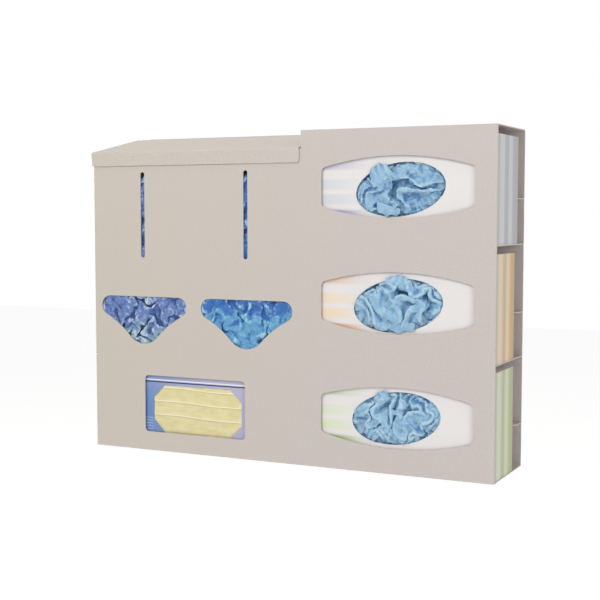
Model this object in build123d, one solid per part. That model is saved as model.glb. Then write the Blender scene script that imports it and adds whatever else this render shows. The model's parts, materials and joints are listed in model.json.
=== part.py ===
from build123d import *
import math
import os

# A wall-hung dispenser for boxed gloves, boxed face masks and loose caps or shoe covers.
# Folded sheet steel: a glove column with three boxes on the right, two bins under a sloped
# lid on the left, and a mask compartment below the bins.
# Frame, in millimetres: X across, seen from the front; -Y forward; +Z up.
# Origin: the middle of the lower edge of the back, on the wall plane.

# ---------------------------------------------------------------- driving dimensions
# The boxes come first: the sheet metal is sized round them.
CARD = 0.8              # board thickness of the cartons
CARTON_W = 247.0        # glove carton
CARTON_H = 137.0
CARTON_DEPTHS = (81.0, 81.0, 92.0)  # lower, middle, upper
CARTON_HEADROOM = 10.0  # air over a glove carton
CARTON_GAP = 2.4        # air between a carton and the front panel
CARTON_INSET = 1.0      # carton's end inside the column's open right side
COLUMN_SIDE_ROOM = 18.0  # space left of a glove carton, for the welding flanges
MASK_CARTON_W = 206.0
MASK_CARTON_H = 121.0
MASK_CARTON_D = 96.0
MASK_HEADROOM = 11.4    # air over the mask carton

SHEET = 1.2             # sheet thickness of every folded piece
BEND_R = 1.0            # inside radius of every fold
FLANGE = 12.0           # width of the welding flanges
FLANGE_RELIEF = 0.5     # air round a flange that another piece makes room for
BODY_D = 124.4          # outside depth, wall plane to front face
BIN_W = 165.0           # width of the body for each bin
RELIEF_R = 1.6          # bend relief where the left wall starts

LID_FRONT_DROP = 22.5   # from the glove column's top down to the lid's front edge
LID_LIP_H = 19.5        # height of the lid's front lip
LIP_CORNER_R = 4.0      # rounding of the lip's lower right corner
LIP_SLANT = 1.6         # how much narrower the lip's left end is at its lower corner
LID_FLANGE = 12.0       # height of the lid's side flanges
LID_RELIEF_R = 1.3      # bend relief at the lid's right front corner
LID_OVERHANG = 1.0      # air between the left wall and the lid's flange
LIP_GAP = 0.5           # air between the lid's lip and the front face
LID_COLUMN_GAP = 1.8    # air between the lid and the glove column
LID_REST_GAP = 0.4      # air under the closed lid, over the panels' edges
LID_SWING_GAP = 7.5     # from the front face to the lid's inner flange, which swings forward
DIVIDER_DROP = 2.5      # air between the lid and the bin divider

BARREL_R = 2.5          # outside radius of the hinge's knuckles
PIN_R = 1.2             # radius of the hinge pin
PIN_CLEARANCE = 0.06    # radial running clearance of the lid's knuckles on the pin
LEAF_T = 1.0            # thickness of the hinge leaves
LEAF_W = 20.0           # width of each hinge leaf, from the pin's axis
LEAF_GAP = 0.5          # air between a leaf and the other leaf's knuckles
KNUCKLE_L = 25.0        # length of one knuckle
KNUCKLE_GAP = 0.4       # air between neighbouring knuckles
HINGE_END_GAP = 1.0     # air between the hinge's ends and what stands beside them

GLOVE_WINDOW_W = 208.5
GLOVE_WINDOW_H = 79.6   # height on the centre line
GLOVE_WINDOW_END_H = 50.0
GLOVE_WINDOW_R = 7.0
GLOVE_WINDOW_SHIFT = 1.1  # right of the column's middle
GLOVE_WINDOW_DROP = 1.1   # below the compartment's middle
MASK_WINDOW_W = 161.4
MASK_WINDOW_H = 80.6
MASK_WINDOW_R = 6.0
BIN_PITCH = 164.3       # between the bins' windows
BIN_WINDOW_W = 141.3
BIN_WINDOW_H = 67.0
BIN_SILL = 17.9         # from the bins' floor line up to their windows
SHOULDER_R = 14.0       # round ends of a bin window
LIP_R = 31.0            # round lower lip of a bin window
SLOT_W = 6.4
SLOT_L = 120.0
SLOT_DROP = 28.6        # from the lid's front edge down to the slots

KEYHOLE_SPACING_X = 406.4
KEYHOLE_SPACING_Z = 304.8
KEYHOLE_Z = 101.6       # lower pair's heads
KEYHOLE_R = 5.0
KEYHOLE_SLOT_W = 5.5
KEYHOLE_SLOT_L = 11.0   # from the head's centre to the slot's upper end
TOP_FLANGE = 14.0       # width of the flange under the column's front top edge
STOP_CLEARANCE = 0.8    # air between the deepest carton and its stop
STOP_W = 38.0
STOP_R = 8.0            # rounding of a stop's free corner
STOP_LEG = 14.0         # height of the leg by which a stop is welded on
STOP_RISE = 59.0        # height of a stop above the floor of its compartment

OVAL_W = 122.0          # opening torn out of a glove carton
OVAL_H = 68.0
OVAL_TILT = 7.5         # degrees, right end up
OVAL_SHIFTS = ((0.0, -0.5), (2.0, -3.2), (4.4, -3.3))  # from the middle of each window
WAD_PROUD = 3.0         # how far the gloves push out past the front panel
WAD_EDGE = 3.5          # softened edges of the gloves
WAD_PLAY = 0.3          # air between the gloves or masks and their carton
MASK_OPENING_W = 141.5
MASK_OPENING_H = 68.0
MASK_OPENING_SHIFT = (2.8, -6.8)    # from the middle of the mask window
MASK_CHAMFER = 18.0
MASK_EDGE = 2.0         # softened edges of the stack
FILL_DROP = 24.0        # from the lid's front edge down to the heaped caps
FILL_PLAY = 2.5         # air between the loose caps and the bin's sheets
FILL_EDGE = 14.0        # sloping shoulder round the top of the heap
MARGIN = 1.0            # how far a cutter runs past what it cuts

# ---------------------------------------------------------------- derived dimensions
ROOM_H = CARTON_H + SHEET + CARTON_HEADROOM        # pitch of the glove compartments
BODY_H = 3 * ROOM_H
MASK_ROOM_H = MASK_CARTON_H + SHEET + MASK_HEADROOM
COLUMN_W = COLUMN_SIDE_ROOM + CARTON_W + CARTON_INSET
BODY_W = 2 * BIN_W + COLUMN_W
LEFT_X = -BODY_W / 2
RIGHT_X = BODY_W / 2
COLUMN_X = RIGHT_X - COLUMN_W                      # outer left side of the glove column
BINS_X = (LEFT_X + COLUMN_X) / 2                   # middle of the two bins
FRONT_Y = -BODY_D
INNER_FRONT_Y = FRONT_Y + SHEET
INNER_BACK_Y = -SHEET
CARTON_Y = INNER_FRONT_Y + CARTON_GAP              # front of every carton
OUTER_R = BEND_R + SHEET
STOP_REACH = -(CARTON_Y + max(CARTON_DEPTHS)) - STOP_CLEARANCE

GLOVE_WINDOW_X = (COLUMN_X + RIGHT_X) / 2 + GLOVE_WINDOW_SHIFT
MASK_WINDOW_Z = MASK_ROOM_H / 2
BIN_WINDOW_XS = (BINS_X - BIN_PITCH / 2, BINS_X + BIN_PITCH / 2)
BIN_WINDOW_BOTTOM = MASK_ROOM_H + BIN_SILL
BIN_WINDOW_TOP = BIN_WINDOW_BOTTOM + BIN_WINDOW_H

PIN_Y = -(SHEET + BARREL_R)
PIN_Z = BODY_H
LID_FRONT_Z = BODY_H - LID_FRONT_DROP              # top of the lid at its front lip
LIP_LOW_Z = LID_FRONT_Z - LID_LIP_H
LIP_Y = FRONT_Y - LIP_GAP - SHEET                  # outer face of the lid's lip
LID_BACK_Z = PIN_Z + BARREL_R
LID_SLOPE = math.atan2(LID_BACK_Z - LID_FRONT_Z, PIN_Y - LIP_Y)
LID_LEFT_X = LEFT_X - LID_OVERHANG - SHEET
LID_RIGHT_X = COLUMN_X - LID_COLUMN_GAP
HINGE_LEFT_X = LEFT_X + FLANGE + HINGE_END_GAP
HINGE_RIGHT_X = LID_RIGHT_X - SHEET - HINGE_END_GAP
LEAF_START = BARREL_R + LEAF_GAP                   # from the pin's axis to a leaf's plain edge
BACK_LEFT_TOP = PIN_Z - LEAF_START - LEAF_GAP      # the back panel's edge below the hinge


def block(x0, x1, y0, y1, z0, z1):
    """A box between six planes."""
    size = (x1 - x0, y1 - y0, z1 - z0)
    centre = ((x0 + x1) / 2, (y0 + y1) / 2, (z0 + z1) / 2)
    return Pos(*centre) * Box(*size)


def strip(points, left=True):
    """The section of a folded strip: a path thickened to one side by the sheet, with round folds."""
    side = 1 if left else -1
    path = [Vector(x, y) for x, y in points]
    runs = [(b - a).normalized() for a, b in zip(path, path[1:])]
    normals = [Vector(-r.Y, r.X) * side for r in runs]
    inner = [path[0] + normals[0] * SHEET]
    for k in range(1, len(path) - 1):
        shift = normals[k - 1] + normals[k]
        scale = SHEET / (1 + normals[k - 1].dot(normals[k]))
        inner.append(path[k] + shift * scale)
    inner.append(path[-1] + normals[-1] * SHEET)
    corners = path + inner[::-1]
    section = make_face(Polyline(*[(p.X, p.Y) for p in corners], close=True))
    for k in range(1, len(path) - 1):
        turn = runs[k - 1].X * runs[k].Y - runs[k - 1].Y * runs[k].X
        path_is_outer = turn * side > 0
        pairs = ((path[k], OUTER_R if path_is_outer else BEND_R),
                 (inner[k], BEND_R if path_is_outer else OUTER_R))
        for corner, radius in pairs:
            nearest = section.vertices().sort_by_distance(corner)[0]
            section = fillet(nearest, radius)
    return section


def fold_along_z(points, z0, z1, left=True):
    """A strip folded in plan, standing from z0 to z1."""
    return Pos(0, 0, z0) * extrude(strip(points, left), z1 - z0)


def fold_along_x(points, x0, x1, left=True):
    """A strip folded in the Y-Z plane, running from x0 to x1."""
    plane = Plane(origin=(x0, 0, 0), x_dir=(0, 1, 0), z_dir=(1, 0, 0))
    return extrude(plane * strip(points, left), x1 - x0)


def fold_along_y(points, y0, y1, left=True):
    """A strip folded in the X-Z plane, running from y0 to y1."""
    plane = Plane(origin=(0, y0, 0), x_dir=(1, 0, 0), z_dir=(0, -1, 0))
    return extrude(plane * strip(points, left), y0 - y1)


def through(sketch, y_front, y_back):
    """Push an outline drawn in X and Z along Y, between two planes."""
    plane = Plane(origin=(0, y_back, 0), x_dir=(1, 0, 0), z_dir=(0, -1, 0))
    return extrude(plane * sketch, y_back - y_front)


def through_panel(sketch, y_outer, thickness=SHEET):
    """A cutter for one sheet, with its front at y_outer."""
    return through(sketch, y_outer - MARGIN, y_outer + thickness + MARGIN)


def solid_of(shape):
    """The one solid of a piece."""
    return shape.solids()[0] if len(shape.solids()) == 1 else shape


# ---------------------------------------------------------------- outlines of the windows
def glove_window_z(k):
    return (k + 0.5) * ROOM_H - GLOVE_WINDOW_DROP


def glove_window(z):
    """A barrel: straight ends and bowed top and bottom, with round corners."""
    half_w = GLOVE_WINDOW_W / 2
    half_end = GLOVE_WINDOW_END_H / 2
    half_h = GLOVE_WINDOW_H / 2
    left, right = GLOVE_WINDOW_X - half_w, GLOVE_WINDOW_X + half_w
    top = ThreePointArc((left, z + half_end), (GLOVE_WINDOW_X, z + half_h), (right, z + half_end))
    end = Line((right, z + half_end), (right, z - half_end))
    low = ThreePointArc((right, z - half_end), (GLOVE_WINDOW_X, z - half_h), (left, z - half_end))
    start = Line((left, z - half_end), (left, z + half_end))
    outline = make_face(Curve() + [top, end, low, start])
    return fillet(outline.vertices(), GLOVE_WINDOW_R)


def bin_window(x):
    """A bell with a flat top: round shoulders, hollow flanks and a round lip at the bottom."""
    lip_z = BIN_WINDOW_BOTTOM + LIP_R
    shoulder_z = BIN_WINDOW_TOP - SHOULDER_R
    shoulder_x = BIN_WINDOW_W / 2 - SHOULDER_R
    flank = math.radians(62)
    lip = math.radians(48)
    side = math.radians(14)
    shoulder_end = (shoulder_x + SHOULDER_R * math.cos(flank), shoulder_z - SHOULDER_R * math.sin(flank))
    shoulder_mid = (shoulder_x + SHOULDER_R * math.cos(side), shoulder_z + SHOULDER_R * math.sin(side))
    lip_end = (LIP_R * math.sin(lip), lip_z - LIP_R * math.cos(lip))
    lip_mid = (LIP_R * math.sin(lip / 2), lip_z - LIP_R * math.cos(lip / 2))
    parts = []
    for s in (1, -1):
        top = (x + s * shoulder_x, BIN_WINDOW_TOP)
        bulge = (x + s * shoulder_mid[0], shoulder_mid[1])
        neck = (x + s * shoulder_end[0], shoulder_end[1])
        lip_start = (x + s * lip_end[0], lip_end[1])
        lip_side = (x + s * lip_mid[0], lip_mid[1])
        down_the_flank = ((-s * math.sin(flank), -math.cos(flank)), (-s * math.cos(lip), -math.sin(lip)))
        parts.append(Line((x, BIN_WINDOW_TOP), top))
        parts.append(ThreePointArc(top, bulge, neck))
        parts.append(Spline(neck, lip_start, tangents=down_the_flank))
        parts.append(ThreePointArc(lip_start, lip_side, (x, BIN_WINDOW_BOTTOM)))
    return make_face(Curve() + parts)


def mask_window():
    return Pos(BINS_X, MASK_WINDOW_Z) * RectangleRounded(MASK_WINDOW_W, MASK_WINDOW_H, MASK_WINDOW_R)


def level_slot(x):
    z = LID_FRONT_Z - SLOT_DROP - SLOT_L / 2
    return Pos(x, z) * Rot(0, 0, 90) * SlotOverall(SLOT_L, SLOT_W)


def keyhole(x, z):
    """A round head with a narrow slot above it."""
    head = Pos(x, z) * Circle(KEYHOLE_R)
    neck = Pos(x, z + KEYHOLE_SLOT_L / 2) * Rectangle(KEYHOLE_SLOT_W, KEYHOLE_SLOT_L)
    end = Pos(x, z + KEYHOLE_SLOT_L) * Circle(KEYHOLE_SLOT_W / 2)
    return head + neck + end


# ---------------------------------------------------------------- the lid's slope
def lid_top_z(y):
    return LID_BACK_Z - (PIN_Y - y) * math.tan(LID_SLOPE)


def lid_under_z(y):
    return lid_top_z(y) - SHEET / math.cos(LID_SLOPE)


def above_lid_line(x0, x1, drop):
    """Everything above a line parallel to the lid, a stated drop under its underside."""
    y0, y1 = LIP_Y, MARGIN
    z0 = lid_under_z(y0) - drop
    z1 = lid_under_z(y1) - drop
    top = z1 + BODY_D
    plane = Plane(origin=(x0, 0, 0), x_dir=(0, 1, 0), z_dir=(1, 0, 0))
    area = make_face(Polyline((y0, z0), (y1, z1), (y1, top), (y0, top), close=True))
    return extrude(plane * area, x1 - x0)


# ---------------------------------------------------------------- case
def front_panel():
    """The front face. Above the mask compartment its left edge folds back into the bins' left wall."""
    wall_path = [(RIGHT_X, FRONT_Y), (LEFT_X, FRONT_Y), (LEFT_X, INNER_BACK_Y), (LEFT_X + FLANGE, INNER_BACK_Y)]
    panel = fold_along_z(wall_path, MASK_ROOM_H, BODY_H + BARREL_R, left=False)
    panel += block(LEFT_X + SHEET, RIGHT_X, FRONT_Y, INNER_FRONT_Y, 0, MASK_ROOM_H)
    top = BODY_H + BARREL_R + MARGIN
    panel_top = lid_under_z(FRONT_Y) - LID_REST_GAP
    fold_end = FRONT_Y + OUTER_R + MARGIN
    panel -= block(LEFT_X - MARGIN, COLUMN_X, FRONT_Y - MARGIN, fold_end, panel_top, top)
    panel -= block(COLUMN_X, RIGHT_X + MARGIN, FRONT_Y - MARGIN, fold_end, BODY_H, top)
    panel -= above_lid_line(LEFT_X - MARGIN, LEFT_X + FLANGE + MARGIN, LID_REST_GAP)
    relief = Pos(LEFT_X + OUTER_R, MASK_ROOM_H) * Circle(RELIEF_R)
    cuts = [mask_window(), relief]
    cuts += [glove_window(glove_window_z(k)) for k in range(3)]
    cuts += [bin_window(x) for x in BIN_WINDOW_XS]
    cuts += [level_slot(x) for x in BIN_WINDOW_XS]
    for cut in cuts:
        panel -= through_panel(cut, FRONT_Y)
    return panel


def back_panel():
    """The back sheet, folded forward at the top over the glove column, with keyholes for the wall screws."""
    top_path = [(0, 0), (0, BODY_H), (INNER_FRONT_Y, BODY_H), (INNER_FRONT_Y, BODY_H - TOP_FLANGE)]
    panel = fold_along_x(top_path, COLUMN_X, RIGHT_X, left=True)
    panel += block(LEFT_X, COLUMN_X, INNER_BACK_Y, 0, 0, BACK_LEFT_TOP)
    for sx in (-1, 1):
        for row in (0, 1):
            hole = keyhole(sx * KEYHOLE_SPACING_X / 2, KEYHOLE_Z + row * KEYHOLE_SPACING_Z)
            panel -= through_panel(hole, INNER_BACK_Y)
    return panel


def box_stop(k):
    """A small angle welded to the back panel at the open side: it keeps a box from sliding back."""
    root = k * ROOM_H + STOP_RISE
    path = [(INNER_BACK_Y, root - STOP_LEG), (INNER_BACK_Y, root), (-STOP_REACH, root)]
    angle = fold_along_x(path, RIGHT_X - STOP_W, RIGHT_X, left=True)
    corner_x, corner_y = RIGHT_X - STOP_R, -STOP_REACH + STOP_R
    rounding = block(corner_x, RIGHT_X + MARGIN, -STOP_REACH - MARGIN, corner_y, root - 2 * SHEET, root + MARGIN)
    rounding -= Pos(corner_x, corner_y, root) * Cylinder(STOP_R, 6 * SHEET)
    return angle - rounding


def bottom_panel():
    """The floor: a long tray with flanges turned up behind the front and the back panel."""
    path = [(INNER_FRONT_Y, FLANGE), (INNER_FRONT_Y, 0), (INNER_BACK_Y, 0), (INNER_BACK_Y, FLANGE)]
    return fold_along_x(path, LEFT_X + SHEET, RIGHT_X, left=True)


def upright(x, z0, z1):
    """A channel between the front and the back panel, its flanges turned to the right."""
    path = [(x + FLANGE, INNER_FRONT_Y), (x, INNER_FRONT_Y), (x, INNER_BACK_Y), (x + FLANGE, INNER_BACK_Y)]
    return fold_along_z(path, z0, z1, left=False)


def flange_cuts(x, z0, z1, front_depth, back_depth):
    """Cutters that shorten an upright's two flanges and folds between two heights."""
    x0, x1 = x - MARGIN, x + FLANGE + MARGIN
    front = block(x0, x1, INNER_FRONT_Y - MARGIN, INNER_FRONT_Y + front_depth, z0, z1)
    back = block(x0, x1, INNER_BACK_Y - back_depth, INNER_BACK_Y + MARGIN, z0, z1)
    return front, back


def column_wall():
    """The glove column's left side, from the floor to under the folded top."""
    wall = upright(COLUMN_X, SHEET, BODY_H - SHEET)
    floor_front, floor_back = flange_cuts(COLUMN_X, 0, FLANGE + FLANGE_RELIEF, OUTER_R, OUTER_R)
    top_front, _ = flange_cuts(COLUMN_X, BODY_H - TOP_FLANGE - FLANGE_RELIEF, BODY_H, OUTER_R, OUTER_R)
    _, top_back = flange_cuts(COLUMN_X, BODY_H - SHEET - OUTER_R, BODY_H, OUTER_R, OUTER_R)
    return wall - floor_front - floor_back - top_front - top_back


def shelf(level):
    """A shelf of the glove column: flanges turned down at the front and the back."""
    top = level * ROOM_H
    y0, y1 = INNER_FRONT_Y, INNER_BACK_Y
    x0 = COLUMN_X + SHEET
    path = [(y0, top - FLANGE), (y0, top), (y1, top), (y1, top - FLANGE)]
    plate = fold_along_x(path, x0, RIGHT_X, left=False)
    notch_x = COLUMN_X + FLANGE + FLANGE_RELIEF
    low, high = top - FLANGE - MARGIN, top + MARGIN
    plate -= block(x0 - MARGIN, notch_x, y0 - MARGIN, y0 + OUTER_R + FLANGE_RELIEF, low, high)
    plate -= block(x0 - MARGIN, notch_x, y1 - OUTER_R - FLANGE_RELIEF, y1 + MARGIN, low, high)
    return plate


def bin_floor():
    """A shallow tray with four upturned flanges and relieved corners."""
    x0, x1 = LEFT_X + SHEET, COLUMN_X
    y0, y1 = INNER_FRONT_Y, INNER_BACK_Y - SHEET
    z0 = MASK_ROOM_H
    notch = OUTER_R + FLANGE_RELIEF
    lengthwise = [(y0, z0 + FLANGE), (y0, z0), (y1, z0), (y1, z0 + FLANGE)]
    crosswise = [(x0, z0 + FLANGE), (x0, z0), (x1, z0), (x1, z0 + FLANGE)]
    floor = fold_along_x(lengthwise, x0 + notch, x1 - notch, left=True)
    floor += fold_along_y(crosswise, y0 + notch, y1 - notch, left=True)
    return floor


def bin_divider():
    """The upright channel between the two bins, cut off under the sloped lid."""
    x = BINS_X - SHEET / 2
    z0 = MASK_ROOM_H + SHEET
    divider = upright(x, z0, BODY_H)
    divider -= above_lid_line(x - MARGIN, x + FLANGE + MARGIN, DIVIDER_DROP)
    tray_front = OUTER_R + FLANGE_RELIEF
    tray_back = SHEET + OUTER_R + FLANGE_RELIEF
    for cut in flange_cuts(x, MASK_ROOM_H, MASK_ROOM_H + FLANGE + FLANGE_RELIEF, tray_front, tray_back):
        divider -= cut
    hinge_room = BARREL_R - PIN_Y
    _, under_hinge = flange_cuts(x, PIN_Z - LEAF_W - FLANGE_RELIEF, BODY_H + MARGIN, hinge_room, hinge_room)
    return divider - under_hinge


# ---------------------------------------------------------------- lid and hinge
def slope_plane(x):
    """A plane through the pin's axis whose first axis runs down the lid's slope and whose second is its normal."""
    down = Vector(0, -math.cos(LID_SLOPE), -math.sin(LID_SLOPE))
    normal = Vector(0, -math.sin(LID_SLOPE), math.cos(LID_SLOPE))
    origin = Vector(x, PIN_Y, PIN_Z)
    return Plane(origin=origin, x_dir=down, z_dir=down.cross(normal))


def lid():
    """The sloped lid: a front lip outside the front face, a flange outside the left wall and one inside on the right."""
    back_y = PIN_Y - (LEAF_START + FLANGE_RELIEF) * math.cos(LID_SLOPE)
    profile = [(LIP_Y, LIP_LOW_Z), (LIP_Y, lid_top_z(LIP_Y)), (back_y, lid_top_z(back_y))]
    cover = fold_along_x(profile, LID_LEFT_X, LID_RIGHT_X, left=False)
    corner_x, corner_z = LID_RIGHT_X - LIP_CORNER_R, LIP_LOW_Z + LIP_CORNER_R
    corner = block(corner_x, LID_RIGHT_X + MARGIN, LIP_Y - MARGIN, LIP_Y + SHEET + MARGIN, LIP_LOW_Z - MARGIN, corner_z)
    corner -= Pos(corner_x, LIP_Y, corner_z) * Rot(90, 0, 0) * Cylinder(LIP_CORNER_R, 6 * SHEET)
    cover -= corner
    slant_x = LID_LEFT_X + LIP_SLANT
    slant_top = LID_FRONT_Z - OUTER_R
    slant = make_face(Polyline((LID_LEFT_X - MARGIN, LIP_LOW_Z - MARGIN), (slant_x, LIP_LOW_Z - MARGIN),
                               (slant_x, LIP_LOW_Z), (LID_LEFT_X, slant_top),
                               (LID_LEFT_X - MARGIN, slant_top), close=True))
    cover -= through_panel(slant, LIP_Y)
    left_front = LIP_Y + OUTER_R + FLANGE_RELIEF
    right_front = FRONT_Y + LID_SWING_GAP
    flange_back = back_y - MARGIN
    for x0, y0 in ((LID_LEFT_X, left_front), (LID_RIGHT_X - SHEET, right_front)):
        upper = [(y0, lid_top_z(y0)), (flange_back, lid_top_z(flange_back))]
        lower = [(y, z - LID_FLANGE) for y, z in reversed(upper)]
        plane = Plane(origin=(x0, 0, 0), x_dir=(0, 1, 0), z_dir=(1, 0, 0))
        cover += extrude(plane * make_face(Polyline(*upper, *lower, close=True)), SHEET)
    relief = Pos(LID_RIGHT_X, LID_FRONT_Z - LID_RELIEF_R) * Circle(LID_RELIEF_R)
    cover -= through_panel(relief, LIP_Y)
    return cover


def knuckle_spans(first):
    """Where one leaf's knuckles stand along the pin: every second place."""
    count = int((HINGE_RIGHT_X - HINGE_LEFT_X) // KNUCKLE_L)
    start = (HINGE_LEFT_X + HINGE_RIGHT_X - count * KNUCKLE_L) / 2
    places = range(first, count, 2)
    return [(start + k * KNUCKLE_L + KNUCKLE_GAP / 2, start + (k + 1) * KNUCKLE_L - KNUCKLE_GAP / 2) for k in places]


def rod(radius, x0, x1):
    return Pos((x0 + x1) / 2, PIN_Y, PIN_Z) * Rot(0, 90, 0) * Cylinder(radius, x1 - x0)


def body_hinge_leaf():
    """The leaf welded to the back panel, hanging down from its knuckles."""
    leaf_y0, leaf_y1 = INNER_BACK_Y - LEAF_T, INNER_BACK_Y
    top = PIN_Z - LEAF_START
    leaf = block(HINGE_LEFT_X, HINGE_RIGHT_X, leaf_y0, leaf_y1, PIN_Z - LEAF_W, top)
    for x0, x1 in knuckle_spans(0):
        leaf += block(x0, x1, leaf_y0, leaf_y1, top - MARGIN, PIN_Z)
        leaf += rod(BARREL_R, x0, x1)
        leaf -= rod(PIN_R, x0 - KNUCKLE_GAP / 4, x1 + KNUCKLE_GAP / 4)
    return leaf


def lid_hinge_leaf():
    """The leaf welded under the lid, running forward from its knuckles down the slope."""
    outer = BARREL_R * math.cos(LID_SLOPE) - SHEET

    def slab(x0, x1, s0, s1):
        corners = [(s0, outer - LEAF_T), (s1, outer - LEAF_T), (s1, outer), (s0, outer)]
        plane = slope_plane(x0)
        length = (x1 - x0) * (1 if plane.z_dir.X > 0 else -1)
        return extrude(plane * make_face(Polyline(*corners, close=True)), length)

    leaf = slab(HINGE_LEFT_X, HINGE_RIGHT_X, LEAF_START, LEAF_W)
    for x0, x1 in knuckle_spans(1):
        leaf += slab(x0, x1, 0, LEAF_START + MARGIN)
        leaf += rod(BARREL_R, x0, x1)
        leaf -= rod(PIN_R + PIN_CLEARANCE, x0 - KNUCKLE_GAP / 4, x1 + KNUCKLE_GAP / 4)
    return leaf


def hinge_pin():
    return rod(PIN_R, HINGE_LEFT_X, HINGE_RIGHT_X)


# ---------------------------------------------------------------- contents
def tilted_oval(k, shrink):
    x = GLOVE_WINDOW_X + OVAL_SHIFTS[k][0]
    z = glove_window_z(k) + OVAL_SHIFTS[k][1]
    return Pos(x, z) * Rot(0, 0, OVAL_TILT) * Ellipse(OVAL_W / 2 - shrink, OVAL_H / 2 - shrink)


def carton_box(k, inset):
    """The space of one glove carton, shrunk by an inset on every side."""
    floor_z = max(k * ROOM_H, SHEET)
    x1 = RIGHT_X - CARTON_INSET
    return block(x1 - CARTON_W + inset, x1 - inset, CARTON_Y + inset, CARTON_Y + CARTON_DEPTHS[k] - inset,
                 floor_z + inset, floor_z + CARTON_H - inset)


def glove_carton(k):
    """A board box with an oval opening in its front."""
    return carton_box(k, 0) - carton_box(k, CARD) - through_panel(tilted_oval(k, 0), CARTON_Y, CARD)


def glove_wad(k):
    """The gloves: they fill the box and swell out of its opening."""
    wad = chamfer(carton_box(k, CARD + WAD_PLAY).edges(), WAD_EDGE)
    swell = through(tilted_oval(k, WAD_PLAY), FRONT_Y - WAD_PROUD, CARTON_Y + CARTON_DEPTHS[k] / 4)
    rim = swell.faces().sort_by(Axis.Y)[0].edges()
    return wad + chamfer(rim, WAD_EDGE)


def mask_octagon(shrink):
    x, z = BINS_X + MASK_OPENING_SHIFT[0], MASK_WINDOW_Z + MASK_OPENING_SHIFT[1]
    sketch = Pos(x, z) * Rectangle(MASK_OPENING_W - 2 * shrink, MASK_OPENING_H - 2 * shrink)
    return chamfer(sketch.vertices(), MASK_CHAMFER)


def mask_box(inset):
    half_w = MASK_CARTON_W / 2 - inset
    return block(BINS_X - half_w, BINS_X + half_w, CARTON_Y + inset, CARTON_Y + MASK_CARTON_D - inset,
                 SHEET + inset, SHEET + MASK_CARTON_H - inset)


def mask_carton():
    """A board box with an octagonal opening in its front."""
    return mask_box(0) - mask_box(CARD) - through_panel(mask_octagon(0), CARTON_Y, CARD)


def mask_stack():
    """The folded masks, the foremost one filling the opening."""
    stack = chamfer(mask_box(CARD + WAD_PLAY).edges(), MASK_EDGE)
    return stack + through(mask_octagon(WAD_PLAY), CARTON_Y - CARD / 2, CARTON_Y + MASK_CARTON_D / 4)


def bin_fill(x0, x1):
    """Loose caps heaped in one bin."""
    y0, y1 = INNER_FRONT_Y + FILL_PLAY, INNER_BACK_Y - 2 * SHEET - FILL_PLAY
    heap = block(x0, x1, y0, y1, MASK_ROOM_H + SHEET, LID_FRONT_Z - FILL_DROP)
    return chamfer(heap.edges().group_by(Axis.Z)[-1], FILL_EDGE)


def main():
    pieces = {
        "front_panel": front_panel(),
        "back_panel": back_panel(),
        "bottom_panel": bottom_panel(),
        "column_wall": column_wall(),
        "lower_shelf": shelf(1),
        "upper_shelf": shelf(2),
        "bin_floor": bin_floor(),
        "bin_divider": bin_divider(),
        "lid": lid(),
        "body_hinge_leaf": body_hinge_leaf(),
        "lid_hinge_leaf": lid_hinge_leaf(),
        "hinge_pin": hinge_pin(),
        "mask_carton": mask_carton(),
        "mask_stack": mask_stack(),
        "left_bin_fill": bin_fill(LEFT_X + 2 * SHEET + FILL_PLAY, BINS_X - SHEET / 2 - FILL_PLAY),
        "right_bin_fill": bin_fill(BINS_X + SHEET / 2 + FILL_PLAY, COLUMN_X - SHEET - FILL_PLAY),
    }
    for k, place in enumerate(("lower", "middle", "upper")):
        pieces[f"{place}_glove_carton"] = glove_carton(k)
        pieces[f"{place}_glove_wad"] = glove_wad(k)
        pieces[f"{place}_box_stop"] = box_stop(k)
    os.makedirs("parts", exist_ok=True)
    for name, piece in pieces.items():
        export_step(solid_of(piece), f"parts/{name}.step")


main()
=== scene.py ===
# %% [markdown]
# # A dispenser for gloves, masks and loose caps
#
# This lesson dresses a wall-hung sheet-metal dispenser. The folded steel arrives as a fixed
# frame, already at its real size. What Blender adds is everything that the eye judges: the satin
# powder coat, the printed board of the cartons, the crumpled film of the gloves, the pleats of
# the masks and the ruffled caps in the two bins.

import json
import math

import bmesh
import bpy
import numpy as np
from mathutils import Matrix, Vector, noise

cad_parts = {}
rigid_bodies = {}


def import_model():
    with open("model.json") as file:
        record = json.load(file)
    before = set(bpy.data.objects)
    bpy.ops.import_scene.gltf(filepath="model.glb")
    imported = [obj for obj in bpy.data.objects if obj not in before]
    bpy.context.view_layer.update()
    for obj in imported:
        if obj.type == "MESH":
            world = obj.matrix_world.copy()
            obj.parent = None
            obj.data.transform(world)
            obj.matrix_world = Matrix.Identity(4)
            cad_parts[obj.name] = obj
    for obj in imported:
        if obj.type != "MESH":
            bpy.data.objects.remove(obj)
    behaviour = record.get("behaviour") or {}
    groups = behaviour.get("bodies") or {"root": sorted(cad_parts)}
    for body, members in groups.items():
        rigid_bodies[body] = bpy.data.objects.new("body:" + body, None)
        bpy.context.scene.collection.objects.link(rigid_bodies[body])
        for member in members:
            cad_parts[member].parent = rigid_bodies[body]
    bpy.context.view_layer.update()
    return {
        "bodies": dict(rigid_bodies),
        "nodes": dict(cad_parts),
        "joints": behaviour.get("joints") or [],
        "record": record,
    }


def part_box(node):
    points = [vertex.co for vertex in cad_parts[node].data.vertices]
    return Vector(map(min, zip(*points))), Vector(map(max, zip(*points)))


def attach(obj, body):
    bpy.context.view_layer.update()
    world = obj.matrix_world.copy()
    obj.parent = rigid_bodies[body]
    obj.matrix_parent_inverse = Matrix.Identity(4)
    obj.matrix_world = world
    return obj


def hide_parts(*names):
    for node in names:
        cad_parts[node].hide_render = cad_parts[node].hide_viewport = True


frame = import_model()
nodes = frame["nodes"]
MM = 0.001
print("frame loaded:", len(nodes), "nodes")

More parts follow.
